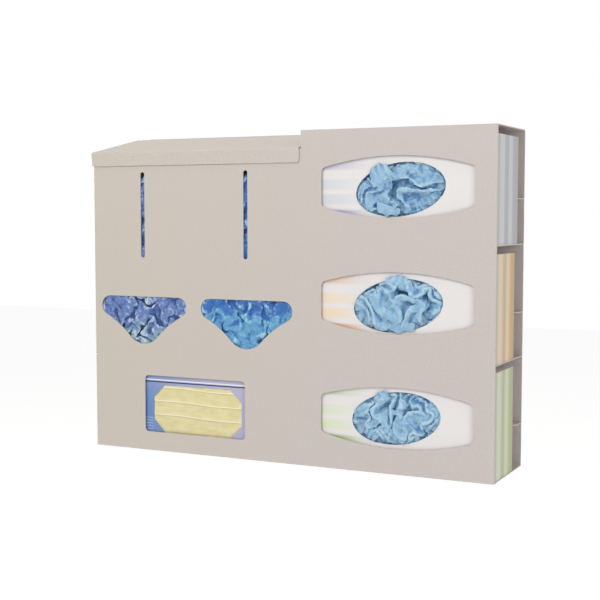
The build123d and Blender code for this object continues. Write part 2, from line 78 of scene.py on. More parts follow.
# %% [markdown]
# ## Helpers
#
# Colours are written as the hex values that a colour picker gives, which are sRGB. Blender's
# shaders work in linear light, so one function turns them. A second one adds a node to a tree
# with its settings and its links, so that each material below reads as a short recipe.

# %% Colour and node helpers
def srgb(hex_colour):
    channels = [int(hex_colour[k:k + 2], 16) / 255 for k in (1, 3, 5)]
    linear = [c / 12.92 if c <= 0.04045 else ((c + 0.055) / 1.055) ** 2.4 for c in channels]
    return (*linear, 1.0)


def add_node(tree, kind, inputs=None, **settings):
    """Adds one node. An input given a socket is linked to it, and any other value is set."""
    made = tree.nodes.new(kind)
    for name, value in settings.items():
        setattr(made, name, value)
    for key, value in (inputs or {}).items():
        if isinstance(value, bpy.types.NodeSocket):
            tree.links.new(value, made.inputs[key])
        else:
            made.inputs[key].default_value = value
    return made


def new_finish(name, **shader_values):
    """A material with a Principled shader, and the Object coordinates that its patterns read."""
    material = bpy.data.materials.new(name)
    material.use_nodes = True
    tree = material.node_tree
    shader = tree.nodes["Principled BSDF"]
    for key, value in shader_values.items():
        shader.inputs[key.replace("_", " ")].default_value = value
    where = add_node(tree, "ShaderNodeTexCoord").outputs["Object"]
    return material, tree, shader, where


def add_noise(tree, where, size_mm, **settings):
    """A noise that repeats about once in so many millimetres. Settings are its other inputs."""
    inputs = {"Vector": where, "Scale": 1.0 / (size_mm * MM), **settings}
    return add_node(tree, "ShaderNodeTexNoise", inputs).outputs[0]


def math_node(tree, operation, *values):
    inputs = dict(enumerate(values))
    return add_node(tree, "ShaderNodeMath", inputs, operation=operation).outputs[0]


def times(tree, first, second):
    return math_node(tree, "MULTIPLY", first, second)


def mix_colours(tree, factor, first, second):
    made = add_node(tree, "ShaderNodeMix", {0: factor, 6: first, 7: second}, data_type="RGBA")
    return made.outputs[2]


def soft_step(tree, value, low, high):
    """0 below low, 1 above high, and a smooth ramp between. A low above the high turns it over."""
    inputs = {"Value": value, "From Min": low, "From Max": high}
    return add_node(tree, "ShaderNodeMapRange", inputs, interpolation_type="SMOOTHSTEP").outputs[0]


def soft_band(tree, value, centre, half_width, blur):
    """1 inside a band about a centre, falling off over the blur."""
    distance = math_node(tree, "ABSOLUTE", math_node(tree, "SUBTRACT", value, centre))
    return soft_step(tree, distance, half_width + blur, half_width)


def add_bump(tree, shader, height, strength, depth_mm):
    inputs = {"Height": height, "Strength": strength, "Distance": depth_mm * MM}
    bump = add_node(tree, "ShaderNodeBump", inputs)
    tree.links.new(bump.outputs["Normal"], shader.inputs["Normal"])


def vary_roughness(tree, shader, value, low, high):
    spread = add_node(tree, "ShaderNodeMapRange", {"Value": value, "To Min": low, "To Max": high})
    tree.links.new(spread.outputs[0], shader.inputs["Roughness"])


def add_board_fibres(tree, shader, where):
    """The faint unevenness of paper board."""
    add_bump(tree, shader, add_noise(tree, where, 3.0, Detail=3.0), 0.3, 0.04)


def dress(piece, material):
    piece.data.materials.clear()
    piece.data.materials.append(material)


print("helpers ready")

# %% [markdown]
# ## Powder-coated steel
#
# The case is mild steel sheet, sprayed with polyester powder and baked. The powder flows into a
# satin skin with a faint orange peel, about two millimetres from crest to crest, that breaks up
# reflections. The shade drifts from warm at the left to cool at the right, and a broad noise makes
# that drift uneven. A fine noise drives a bump of a few hundredths of a millimetre.

# %% The powder coat
def powder_coat():
    material, tree, shader, where = new_finish("powder_coated_steel", Roughness=0.5, IOR=1.5)
    drift = add_noise(tree, where, 260, Detail=1.0)
    across = add_node(tree, "ShaderNodeSeparateXYZ", {0: where}).outputs[0]
    place = math_node(tree, "ADD", across, times(tree, drift, 0.15))
    warm, cool = srgb("#C7BEB1"), srgb("#C5BBB9")
    base = mix_colours(tree, soft_step(tree, place, -0.25, 0.30), warm, cool)
    grain = add_noise(tree, where, 1.1, Detail=2.0)
    speckled = mix_colours(tree, soft_step(tree, grain, 0.35, 0.75), base, srgb("#D3CBC3"))
    tree.links.new(speckled, shader.inputs["Base Color"])
    peel = add_noise(tree, where, 2.2, Detail=1.0)
    vary_roughness(tree, shader, peel, 0.44, 0.58)
    add_bump(tree, shader, peel, 0.35, 0.05)
    return material


COATED = ["front_panel", "back_panel", "bottom_panel", "column_wall", "lower_shelf", "upper_shelf",
          "bin_floor", "bin_divider", "lid", "lower_box_stop", "middle_box_stop", "upper_box_stop"]
coat = powder_coat()
for name in COATED:
    dress(nodes[name], coat)
print("coated:", len(COATED), "sheets")

# %% [markdown]
# ## Plain steel hinge
#
# The continuous hinge is drawn steel strip, rolled round its pin and left bright. Rolling leaves
# fine lines along the strip, so the noise that drives roughness is stretched along X.

# %% The hinge's steel
def drawn_steel():
    material, tree, shader, where = new_finish("drawn_steel", Metallic=1.0, Roughness=0.35)
    shader.inputs["Base Color"].default_value = srgb("#A9A8A4")
    lines = add_node(tree, "ShaderNodeMapping", {"Vector": where, "Scale": (0.03, 1.0, 1.0)})
    streaks = add_noise(tree, lines.outputs[0], 0.8, Detail=3.0)
    vary_roughness(tree, shader, streaks, 0.25, 0.5)
    add_bump(tree, shader, streaks, 0.3, 0.03)
    return material


steel = drawn_steel()
for name in ("body_hinge_leaf", "lid_hinge_leaf", "hinge_pin"):
    dress(nodes[name], steel)
print("hinge dressed")

# %% [markdown]
# ## Printed board
#
# A glove carton is clay-coated board: a bright white face that takes soft, flat print. The print
# here is a plain set of stripes in one pastel per box: level bars that fade from the left on the
# front, and upright bars on the end. Its places come from the box itself, so each carton is
# mapped from its own corner, and a stripe is a soft band on one coordinate.

# %% The cartons' print
DASH_MM = 3.2


def carton_print(name, tint, pale, accent, shaded_end_colours, node):
    low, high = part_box(node)
    material, tree, shader, where = new_finish(name, Roughness=0.42, IOR=1.5)
    corner = (-low.x, -low.y, -low.z)
    place = add_node(tree, "ShaderNodeMapping", {"Vector": where, "Location": corner})
    at = add_node(tree, "ShaderNodeSeparateXYZ", {0: place.outputs[0]}).outputs
    across, back, up = at[0], at[1], at[2]
    wide, deep, tall = high.x - low.x, high.y - low.y, high.z - low.z
    white = srgb("#E9E5E4")
    # front: level bars, strongest near the floor, fading towards the middle of the box
    fade = soft_step(tree, across, 0.36 * wide, 0.04 * wide)
    front = white
    for centre, half, colour, strength in ((0.27, 0.030, tint, 1.3), (0.42, 0.030, pale, 1.0),
                                           (0.56, 0.030, pale, 0.8), (0.76, 0.04, tint, 0.5)):
        bar = times(tree, soft_band(tree, up, centre * tall, half * tall, 5.0 * MM), fade)
        amount = math_node(tree, "MINIMUM", times(tree, bar, strength), 1.0)
        front = mix_colours(tree, amount, front, srgb(colour))
    # a dashed rule down the front, near the right end
    rule = soft_band(tree, across, wide - 4.5 * MM, 2.0 * MM, 0.4 * MM)
    dash = math_node(tree, "SINE", times(tree, up, 2 * math.pi / (DASH_MM * MM)))
    dashes = times(tree, rule, soft_step(tree, dash, -0.2, 0.3))
    reach = soft_band(tree, up, 0.38 * tall, 0.28 * tall, 0.5 * MM)
    front = mix_colours(tree, times(tree, dashes, reach), front, srgb(accent))
    # end: upright bars with a soft side and a crisp side
    # the end's base: white board greyed by painted shade and tinted like its print, changing from front
    # to back
    end = mix_colours(tree, soft_step(tree, back, 0.1 * deep, 0.8 * deep), srgb(shaded_end_colours[0]), srgb(shaded_end_colours[1]))
    for centre, half, colour, blur in ((0.26, 0.09, pale, 9.0), (0.38, 0.030, tint, 1.5),
                                       (0.66, 0.08, pale, 8.0), (0.76, 0.028, tint, 1.5)):
        bar = soft_band(tree, back, centre * deep, half * deep, blur * MM)
        end = mix_colours(tree, times(tree, bar, 0.6), end, srgb(colour))
    on_end = soft_step(tree, across, wide - 1.2 * MM, wide - 0.6 * MM)
    print_colour = mix_colours(tree, on_end, front, end)
    # raw grey board inside the box and on its cut edge
    skin, core = 0.3 * MM, 0.6 * MM
    from_front = soft_step(tree, back, 0.25 * MM, 0.45 * MM)
    from_back = soft_step(tree, back, deep - skin, deep - core)
    from_ends = times(tree, soft_step(tree, across, skin, core),
                      soft_step(tree, across, wide - skin, wide - core))
    from_levels = times(tree, soft_step(tree, up, skin, core),
                        soft_step(tree, up, tall - skin, tall - core))
    raw = times(tree, times(tree, from_front, from_back), times(tree, from_ends, from_levels))
    board = mix_colours(tree, raw, print_colour, srgb("#A8A59F"))
    tree.links.new(board, shader.inputs["Base Color"])
    add_board_fibres(tree, shader, where)
    return material


# each carton: its print colours, then its end's two base colours, which carry painted shade as well as
# a print tint
CARTONS = {
    "lower_glove_carton": carton_print("green_striped_board", "#A4C07C", "#DDE4C6", "#6E6E74",
                                       ("#B6B5A3", "#AFB085"), "lower_glove_carton"),
    "middle_glove_carton": carton_print("orange_striped_board", "#E0A25C", "#F0DABD", "#B5503C",
                                        ("#BEB59F", "#C2A575"), "middle_glove_carton"),
    "upper_glove_carton": carton_print("lilac_striped_board", "#9F9CCB", "#D6D7DF", "#2C62C4",
                                       ("#B3B4AB", "#AAACA4"), "upper_glove_carton"),
}
for name, board in CARTONS.items():
    dress(nodes[name], board)
print("cartons printed:", list(CARTONS))

# %% [markdown]
# ## The mask carton
#
# Its board is printed in a wash from mid blue on the left to pale lavender on the right, with
# two straight pinstripes and a few hairlines as its only ornament.

# %% The mask carton's print
HAIRLINE_MM = 4.0


def mask_carton_print():
    low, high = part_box("mask_carton")
    material, tree, shader, where = new_finish("blue_washed_board", Roughness=0.4, IOR=1.5)
    corner = (-low.x, -low.y, -low.z)
    place = add_node(tree, "ShaderNodeMapping", {"Vector": where, "Location": corner})
    at = add_node(tree, "ShaderNodeSeparateXYZ", {0: place.outputs[0]}).outputs
    across, up = at[0], at[2]
    wide, tall = high.x - low.x, high.z - low.z
    wash = soft_step(tree, across, 0.0, 0.75 * wide)
    base = mix_colours(tree, wash, srgb("#5F86BE"), srgb("#B4B2CF"))
    upper = soft_step(tree, up, 0.5 * tall, tall)
    base = mix_colours(tree, times(tree, upper, 0.35), base, srgb("#C9C3D6"))
    for centre, half, colour in ((0.800, 0.006, "#1D2C55"), (0.822, 0.006, "#E8EDF5")):
        stripe = soft_band(tree, up, centre * tall, half * tall, 0.25 * MM)
        base = mix_colours(tree, stripe, base, srgb(colour))
    # hairlines in the lower left corner
    comb = math_node(tree, "SINE", times(tree, up, 2 * math.pi / (HAIRLINE_MM * MM)))
    corner_only = times(tree, soft_step(tree, across, 0.18 * wide, 0.15 * wide),
                        soft_step(tree, up, 0.40 * tall, 0.38 * tall))
    hairlines = times(tree, soft_step(tree, comb, 0.55, 0.9), corner_only)
    base = mix_colours(tree, times(tree, hairlines, 0.6), base, srgb("#C8D4EA"))
    tree.links.new(base, shader.inputs["Base Color"])
    add_board_fibres(tree, shader, where)
    return material


dress(nodes["mask_carton"], mask_carton_print())
print("mask carton printed")

# %% [markdown]
# ## Camera, light and floor
#
# The dispenser hangs on a wall, seen a little from its right and almost level. The camera is
# given by where it stands and the direction it looks, and a long lens keeps the case's edges
# nearly parallel. Light comes from two wide soft boxes and a pale room, so that a colour renders
# about as it is written. The floor lies well below, as it does under anything on a wall.

# %% The camera
CAMERA_MM = Vector((716.28, -1536.20, 335.27))
LOOK = (-0.4355, 0.8973, -0.0724)
SENSOR_MM = 36.0
FOCAL_LENGTHS_PER_WIDTH = 1188.4 / 600

look = Vector(LOOK).normalized()
right = look.cross(Vector((0, 0, 1))).normalized()
camera = bpy.data.objects.new("camera", bpy.data.cameras.new("camera"))
bpy.context.scene.collection.objects.link(camera)
camera.data.lens = SENSOR_MM * FOCAL_LENGTHS_PER_WIDTH
turned = Matrix((right, right.cross(look), -look)).transposed().to_4x4()
camera.matrix_world = Matrix.Translation(CAMERA_MM * MM) @ turned
camera.data.clip_start = 0.05
bpy.context.scene.camera = camera
bpy.context.scene.view_settings.view_transform = "Standard"
print("camera lens in mm:", round(camera.data.lens, 1))

# %% Lamps, room and floor
def soft_box(name, place, target, size, power):
    lamp = bpy.data.objects.new(name, bpy.data.lights.new(name, "AREA"))
    bpy.context.scene.collection.objects.link(lamp)
    lamp.data.shape, lamp.data.size, lamp.data.energy = "DISK", size, power
    lamp.location = place
    lamp.rotation_euler = (Vector(target) - Vector(place)).to_track_quat("-Z", "Y").to_euler()


soft_box("front_soft_box", (-0.6, -2.4, 1.9), (0, 0, 0.25), 1.6, 29.0)
soft_box("side_soft_box", (2.6, -1.5, 0.8), (0.1, 0, 0.2), 1.4, 20.0)
soft_box("ceiling_soft_box", (-0.1, -0.4, 2.6), (0, 0, 0.4), 1.2, 7.0)
bpy.data.lights["ceiling_soft_box"].color = (1.0, 0.95, 0.72)


def seen_ray(tree):
    """1 for a ray that brings a picture of the room: straight on, mirrored or through a clear piece."""
    path = add_node(tree, "ShaderNodeLightPath").outputs
    mirrored = math_node(tree, "MAXIMUM", path["Is Glossy Ray"], path["Is Transmission Ray"])
    return math_node(tree, "MAXIMUM", path["Is Camera Ray"], mirrored)


room = bpy.data.worlds.new("pale_room")
bpy.context.scene.world = room
room.use_nodes = True
# the room lights the object at half strength, and looks pure white
level = add_node(room.node_tree, "ShaderNodeMapRange",
                 {"Value": seen_ray(room.node_tree), "To Min": 0.50, "To Max": 1.0})
sky = room.node_tree.nodes["Background"]
sky.inputs["Color"].default_value = (1, 1, 1, 1)
room.node_tree.links.new(level.outputs[0], sky.inputs["Strength"])

FLOOR_SIZE, FLOOR_LEVEL = 14, -0.5
bpy.ops.mesh.primitive_plane_add(size=FLOOR_SIZE, location=(0, 0, FLOOR_LEVEL))
floor = bpy.context.object
floor.name = "floor"
paint, tree, shader, _ = new_finish("white_floor", Roughness=0.9)
shader.inputs["Base Color"].default_value = srgb("#F4F4F4")
glow = add_node(tree, "ShaderNodeMapRange", {"Value": seen_ray(tree), "To Min": 0.0, "To Max": 0.46})
shader.inputs["Emission Color"].default_value = (1, 1, 1, 1)
tree.links.new(glow.outputs[0], shader.inputs["Emission Strength"])
dress(floor, paint)
print("stage set")

# %% [markdown]
# ## How crumpled film is made
#
# Thin film that is pushed into a small opening has more area than the opening, so it buckles
# into round lobes with deep creases between them. Displacing a plane with noise gives bumps but
# never a fold that leans over its neighbour. Here a flat sheet is given ridged starting lobes,
# its edge is held, and Blender's cloth then grows it while it keeps off itself. Growth with
# nowhere to go is what makes film crumple. The work is done ten times larger than life, because
# the solver's smallest distances are made for big cloth.

# %% Starting lobes and the growing sheet
SOLVER_UNIT_MM = 100
SETTLE_FRAMES = 6
CROWN_MM = 5.0


def lobes(seed, size, height, reach):
    """Ridged, warped noise in millimetres: broad lobes with narrow valleys, fading at the reach.

    The reach is a half width, a half height and the power that squares the fade's outline.
    """
    shift = Vector((seed * 7.3, seed * 3.1, seed * 1.7))

    def relief(u, v):
        spot = Vector((u, 0, v)) / size + shift
        bend = Vector((noise.noise(spot * 0.9 + Vector((5, 1, 2))), 0,
                       noise.noise(spot * 0.9 + Vector((9, 4, 7)))))
        spot += 0.7 * bend
        ridge = 1 - 2.2 * abs(noise.noise(spot))
        fine = 0.25 * noise.noise(spot * 2.6 + shift)
        radius = (abs(u) / reach[0]) ** reach[2] + (abs(v) / reach[1]) ** reach[2]
        return height * (ridge + fine) * max(0.0, 1 - radius ** 2) + CROWN_MM * max(0.0, 1 - radius)
    return relief


def grid_faces(columns, rows):
    """The faces of a grid whose points run along its columns first."""
    corners = (j * (columns + 1) + i for j in range(rows) for i in range(columns))
    return [(a, a + 1, a + columns + 2, a + columns + 1) for a in corners]


def change_between_frames(curve, frames):
    """Keeps a curve's value for each frame, but lets it change only half a frame before.

    Blender may read a value that changes on a frame before or after it moves the cloth on that
    frame. A value already in force when the frame comes gives the same sheet on every run.
    """
    values = [curve.evaluate(frame) for frame in range(1, frames + 1)]
    curve.keyframe_points.clear()
    for frame, value in enumerate(values, 1):
        curve.keyframe_points.insert(frame - 0.5, value).interpolation = "CONSTANT"


def crumpled_sheet(width, tall, cell, relief, growth, stiffness, frames=24):
    """Places (u, v, height) in millimetres of a crumpled sheet's points, and its faces."""
    columns, rows = round(width / cell), round(tall / cell)
    across = np.linspace(-width / 2, width / 2, columns + 1)
    along = np.linspace(-tall / 2, tall / 2, rows + 1)
    points = [(u, v, relief(u, v)) for v in along for u in across]
    faces = grid_faces(columns, rows)
    mesh = bpy.data.meshes.new("growing_sheet")
    unit = SOLVER_UNIT_MM
    mesh.from_pydata([(u / unit, v / unit, h / unit) for u, v, h in points], [], faces)
    sheet = bpy.data.objects.new("growing_sheet", mesh)
    scene = bpy.context.scene
    scene.collection.objects.link(sheet)
    near_edge = (width / 2 - 0.1, tall / 2 - 0.1)
    edge = [k for k, (u, v, h) in enumerate(points) if abs(u) > near_edge[0] or abs(v) > near_edge[1]]
    sheet.vertex_groups.new(name="held").add(edge, 1.0, "REPLACE")
    cloth = sheet.modifiers.new("cloth", "CLOTH")
    film = cloth.settings
    film.quality, film.mass, film.air_damping = 6, 0.1, 3
    film.tension_stiffness = film.compression_stiffness = 12
    film.shear_stiffness, film.bending_stiffness = 5, stiffness
    film.effector_weights.gravity = 0
    film.vertex_group_mass = "held"
    film.shrink_min = 0.0
    film.keyframe_insert("shrink_min", frame=1)
    film.shrink_min = -growth
    film.keyframe_insert("shrink_min", frame=frames - SETTLE_FRAMES)
    change_between_frames(sheet.animation_data.action.fcurves[0], frames)
    contact = cloth.collision_settings
    contact.use_collision = False
    contact.use_self_collision = True
    contact.self_distance_min = 0.008
    contact.self_friction = 2
    for step in range(1, frames + 1):
        scene.frame_set(step - 1, subframe=0.75)
        scene.frame_set(step)
    grown = sheet.evaluated_get(bpy.context.evaluated_depsgraph_get()).to_mesh()
    places = np.zeros(len(grown.vertices) * 3)
    grown.vertices.foreach_get("co", places)
    bpy.data.objects.remove(sheet)
    for action in list(bpy.data.actions):
        bpy.data.actions.remove(action)
    scene.frame_set(1)
    return places.reshape(-1, 3) * SOLVER_UNIT_MM, faces


def keep_shown_mesh(piece):
    """Makes what a piece's modifiers show its own plain, smooth mesh, and removes them."""
    raw = piece.data
    shown = piece.evaluated_get(bpy.context.evaluated_depsgraph_get())
    piece.data = bpy.data.meshes.new_from_object(shown)
    piece.modifiers.clear()
    bpy.data.meshes.remove(raw)
    piece.data.name = piece.name
    piece.data.polygons.foreach_set("use_smooth", [True] * len(piece.data.polygons))


def new_piece(name, points_mm, faces):
    mesh = bpy.data.meshes.new(name)
    mesh.from_pydata((points_mm * MM).tolist(), [], faces)
    piece = bpy.data.objects.new(name, mesh)
    bpy.context.scene.collection.objects.link(piece)
    return piece


def closed_piece(name, front, faces, back_y):
    """A smooth piece from a sheet's points in millimetres, closed by a plain wall behind it."""
    piece = new_piece(name, front, faces)
    finer = piece.modifiers.new("finer", "SUBSURF")
    finer.levels = finer.render_levels = 1
    keep_shown_mesh(piece)
    smooth = piece.data
    shell = bmesh.new()
    shell.from_mesh(smooth)
    border = [edge for edge in shell.edges if edge.is_boundary]
    drawn = bmesh.ops.extrude_edge_only(shell, edges=border)["geom"]
    for point in (part for part in drawn if isinstance(part, bmesh.types.BMVert)):
        point.co.y = back_y * MM
    bmesh.ops.contextual_create(shell, geom=[edge for edge in shell.edges if edge.is_boundary])
    bmesh.ops.recalc_face_normals(shell, faces=shell.faces)
    shell.to_mesh(smooth)
    shell.free()
    smooth.polygons.foreach_set("use_smooth", [True] * len(smooth.polygons))
    return piece


def mark(piece, name, values):
    """Stores one number on each point, for a material to read."""
    attribute = piece.data.attributes.new(name, "FLOAT", "POINT")
    attribute.data.foreach_set("value", values.astype(np.float32))


def mark_fold_shade_and_highlight(piece, rounds, reach_mm):
    """Stores on each point how far it stands above (1) or below (0) its surroundings, for painted
    highlight and shade.
    """
    mesh = piece.data
    depth = np.array([-v.co.y for v in mesh.vertices])
    edges = np.array([e.vertices[:] for e in mesh.edges])
    mean = depth.copy()
    for _ in range(rounds):
        total, count = np.zeros_like(mean), np.zeros_like(mean)
        for a, b in ((0, 1), (1, 0)):
            np.add.at(total, edges[:, a], mean[edges[:, b]])
            np.add.at(count, edges[:, a], 1)
        mean = total / np.maximum(count, 1)
    mark(piece, "fold_shade_and_highlight", np.clip(0.5 + (depth - mean) / (2 * reach_mm * MM), 0, 1))


def crinkle(piece, size, depth_mm, seed):
    """Moves each point along its normal by fine warped ridges, as wide as the size in millimetres."""
    shift = Vector((seed * 2.9, seed * 5.1, seed * 0.7))
    mesh = piece.data
    points, normals = np.zeros(len(mesh.vertices) * 3), np.zeros(len(mesh.vertices) * 3)
    mesh.vertices.foreach_get("co", points)
    mesh.vertices.foreach_get("normal", normals)
    points, normals = points.reshape(-1, 3), normals.reshape(-1, 3)
    ridges = []
    for place in points:
        spot = Vector(place) / (size * MM) + shift
        spot += 0.9 * Vector((noise.noise(spot * 0.5), 0, noise.noise(spot * 0.5 + shift)))
        ridges.append(0.8 - 1.6 * abs(noise.noise(spot)) - 0.8 * abs(noise.noise(spot * 2.1)))
    points += normals * (np.array(ridges) * depth_mm * MM)[:, None]
    mesh.vertices.foreach_set("co", points.ravel())
    mesh.update()


def finish_soft(piece, material):
    dress(piece, material)
    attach(piece, "case")


print("film helpers ready")

# %% [markdown]
# ## Nitrile gloves
#
# Examination gloves are dipped nitrile film, a tenth of a millimetre thick, matt with a faint
# sheen. One ply is pale sky blue and lets light through, and folded plies grow deeper and
# bluer. The material reads how far each point stands in or out of the folds, which the mesh
# carries as an attribute, and paints shade where it lies deep and a highlight where it stands
# out. A slow noise adds the patches where more plies lie together.

# %% The glove film
def nitrile_film():
    material, tree, shader, where = new_finish("nitrile_film", Roughness=0.42, IOR=1.52)
    fold_shade_and_highlight = add_node(tree, "ShaderNodeAttribute", attribute_name="fold_shade_and_highlight").outputs["Fac"]
    plies = add_noise(tree, where, 22, Detail=2.0, Distortion=0.8)
    ply_shift = times(tree, math_node(tree, "SUBTRACT", plies, 0.5), 0.9)
    level = math_node(tree, "ADD", fold_shade_and_highlight, ply_shift)
    # painted shade in the creases and painted highlight on the crests, moved by the ply patches
    low = mix_colours(tree, soft_step(tree, level, 0.1, 0.5), srgb("#5986B8"), srgb("#8FB8D5"))
    film = mix_colours(tree, soft_step(tree, level, 0.5, 1.05), low, srgb("#AFD0E3"))
    tree.links.new(film, shader.inputs["Base Color"])
    creases = add_noise(tree, where, 4.0, Detail=4.0, Distortion=1.6)
    add_bump(tree, shader, creases, 0.55, 0.5)
    return material


nitrile = nitrile_film()
print("nitrile ready")

# %% [markdown]
# ## Three handfuls of gloves
#
# Each carton shows its gloves through an oval torn opening. The sheet is laid out on the oval's
# own tilted axes, and after it has crumpled it is held inside the opening's rim: what lies in
# front of the board is drawn in, and what lies behind it may spread.

# %% Gloves in their ovals
OVAL_HALF = (61.0, 34.0)
OVAL_TILT = math.radians(7.5)
SHEET_MM = (136.0, 82.0)
SHEET_CELL = 1.22
SHEET_REST_Y = -117.2
HEIGHT_KEPT = 0.62
DRAWN_IN_Y = -126
FRONT_MOST_Y = -130.0
HELD_TO_Y = -119.4
RIM_BLUR = 4.0
GLOVES_BACK_Y = -96.0


def glove_wad(place, centre, seed, size, height, growth, stiffness):
    relief = lobes(seed, size, height, (*OVAL_HALF, 2.0))
    sheet, faces = crumpled_sheet(*SHEET_MM, SHEET_CELL, relief, growth, stiffness)
    u, v, h = sheet.T
    y = SHEET_REST_Y - h * HEIGHT_KEPT
    # what stands out too far is pressed back softly
    softened = 1 - np.exp((y - DRAWN_IN_Y) / (DRAWN_IN_Y - FRONT_MOST_Y))
    beyond = DRAWN_IN_Y + (FRONT_MOST_Y - DRAWN_IN_Y) * softened
    y = np.where(y < DRAWN_IN_Y, beyond, y)
    # the opening's rim holds what lies at the board or in front of it
    radius = np.sqrt((u / OVAL_HALF[0]) ** 2 + (v / OVAL_HALF[1]) ** 2)
    limit = 0.955 + 0.3 * np.clip((y - HELD_TO_Y) / RIM_BLUR, 0, 1)
    pull = np.where(radius > limit, limit / np.maximum(radius, 1e-6), 1.0)
    u, v = u * pull, v * pull
    cos, sin = math.cos(OVAL_TILT), math.sin(OVAL_TILT)
    front = np.stack([centre[0] + u * cos - v * sin, y, centre[1] + u * sin + v * cos], axis=1)
    piece = closed_piece(f"{place}_gloves", front, faces, GLOVES_BACK_Y)
    crinkle(piece, 13, 1.5, seed + 7)
    crinkle(piece, 4.2, 0.85, seed)
    mark_fold_shade_and_highlight(piece, 40, 2.6)
    finish_soft(piece, nitrile)
    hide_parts(f"{place}_glove_wad")
    print(place, "gloves:", len(piece.data.polygons), "faces, front at", round(float(y.min()), 1), "mm")


glove_wad("upper", (170.5, 366.1), 2, 24, 8, 0.5, 0.12)
glove_wad("middle", (168.1, 218.0), 3, 22, 11, 0.6, 0.5)
glove_wad("lower", (166.1, 72.5), 1, 17, 8, 0.5, 0.12)

# %% [markdown]
# ## Loose ends of gloves
#
# A cuff or a fingertip often stands out over the board where the last glove was pulled. Each is
# a small single ply: a fan that widens from its root in the heap to a ruffled free edge. The
# ruffle grows towards that edge, because nothing holds it there. Solidify gives it the thickness
# of rolled film.

# %% Flaps of film over the board
FLAP_Y, FLAP_NEAREST_Y = -122.3, -121.4
FLAP_THICKNESS = 0.25


def film_flap(name, root, tip, width, stand_off, waves, seed):
    """A ruffled fan in front of the board. Root and tip are (X, Z), in millimetres.

    s runs from its root to its free edge, and t across it.
    """
    root, tip = Vector((root[0], 0, root[1])), Vector((tip[0], 0, tip[1]))
    along = tip - root
    side = Vector((along.z, 0, -along.x)).normalized()
    steps, spokes = 12, 30
    points = []
    for j in range(steps + 1):
        s = j / steps
        for i in range(spokes + 1):
            t = i / spokes - 0.5
            wobble = noise.noise(Vector((t * 5 + seed * 3.3, s * 1.5, seed)))
            reach = s * (1.0 - 1.2 * t * t + 0.22 * wobble)
            spread = (0.9 - 0.1 * s * s) * (1 + 0.15 * wobble)
            spot = root + along * reach + side * (t * width * spread)
            ruffle = math.sin(2 * math.pi * waves * t + seed + 1.4 * s) * 1.1 * s
            lift = FLAP_Y - stand_off * math.sin(math.pi * (0.25 + 0.6 * s)) - ruffle
            points.append((spot.x, min(lift + 0.8 * wobble, FLAP_NEAREST_Y), spot.z))
    piece = new_piece(name, np.array(points), grid_faces(spokes, steps))
    ply = piece.modifiers.new("ply", "SOLIDIFY")
    ply.thickness, ply.offset = FLAP_THICKNESS * MM, 0.0
    finer = piece.modifiers.new("finer", "SUBSURF")
    finer.levels = finer.render_levels = 1
    keep_shown_mesh(piece)
    crinkle(piece, 4.5, 0.5, seed)
    mark_fold_shade_and_highlight(piece, 30, 1.2)
    finish_soft(piece, nitrile)


FLAPS = (
    ("upper_cuff_flap", (150, 373), (142, 397), 36, 2.6, 3.5, 1),
    ("upper_finger_flap", (157, 346), (153, 333), 36, 2.2, 2.0, 2),
    ("middle_cuff_flap", (171, 240), (176, 255), 46, 2.4, 4.5, 3),
    ("middle_finger_flap", (174, 196), (175, 184), 40, 2.4, 1.5, 4),
    ("lower_cuff_flap", (152, 92), (142, 105), 26, 2.2, 2.5, 5),
    ("lower_finger_flap", (138, 56), (129, 44), 22, 2.2, 2.5, 6),
)
for flap in FLAPS:
    film_flap(*flap)
print("flaps laid over the board:", len(FLAPS))

# %% [markdown]
# ## Caps in the bins
#
# The bins hold loose bouffant caps of spunbonded polypropylene, a soft fibrous veil. They press
# against the sheet in front and heap up under the lid. One long crumpled sheet is made flat and
# then carried over the heap: up its front, round a soft shoulder and back over its top.

# %% The caps' veil
BORDER_SWAY = 0.035


def spunbond(name, deep, body, other, pale, patch_mm, band):
    """A veil dyed body below the band and other above it, with painted shade deep in its folds and a
    painted highlight on them.

    The band's two levels are in metres.
    """
    material, tree, shader, where = new_finish(name, Roughness=0.75, IOR=1.49)
    shader.inputs["Sheen Weight"].default_value = 0.25
    shader.inputs["Sheen Roughness"].default_value = 0.5
    fold_shade_and_highlight = add_node(tree, "ShaderNodeAttribute", attribute_name="fold_shade_and_highlight").outputs["Fac"]
    plies = add_noise(tree, where, patch_mm, Detail=3.0, Distortion=1.2)
    ply_shift = times(tree, math_node(tree, "SUBTRACT", plies, 0.5), 1.5)
    level = math_node(tree, "ADD", fold_shade_and_highlight, ply_shift)
    heaps = add_noise(tree, where, 34, Detail=1.0)
    height = add_node(tree, "ShaderNodeSeparateXYZ", {0: where}).outputs[2]
    lie = math_node(tree, "ADD", height, times(tree, heaps, 2 * BORDER_SWAY))
    upper = soft_step(tree, lie, band[0] + BORDER_SWAY, band[1] + BORDER_SWAY)
    dyed = mix_colours(tree, upper, srgb(body), srgb(other))
    # painted shade deep in the folds and painted highlight on their crests
    low = mix_colours(tree, soft_step(tree, level, 0.1, 0.55), srgb(deep), dyed)
    veil = mix_colours(tree, soft_step(tree, level, 0.62, 1.0), low, srgb(pale))
    tree.links.new(veil, shader.inputs["Base Color"])
    fibre = add_noise(tree, where, 1.6, Detail=4.0, Distortion=2.5)
    add_bump(tree, shader, fibre, 0.5, 0.35)
    return material


SHOULDER = 22.0
VEIL_CELL = 2.2
HIGHEST_FOLD, DEEPEST_FOLD = 2.6, -16.0
SOFT_LIMIT = 1.3
TOP_SUNK = 4

low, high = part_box("left_bin_fill")
heap_wide, heap_deep, heap_tall = ((high - low) / MM)[:]
shoulder_starts = heap_tall - SHOULDER
shoulder_arc = SHOULDER * math.pi / 2
length = heap_tall + heap_deep - 2 * SHOULDER + shoulder_arc
relief = lobes(5, 15, 6, (heap_wide * 0.62, length * 0.6, 8.0))
veil_sheet, veil_faces = crumpled_sheet(heap_wide, length, VEIL_CELL, relief, 0.55, 0.08, 22)
print("veil:", len(veil_sheet), "points over", round(length), "mm")


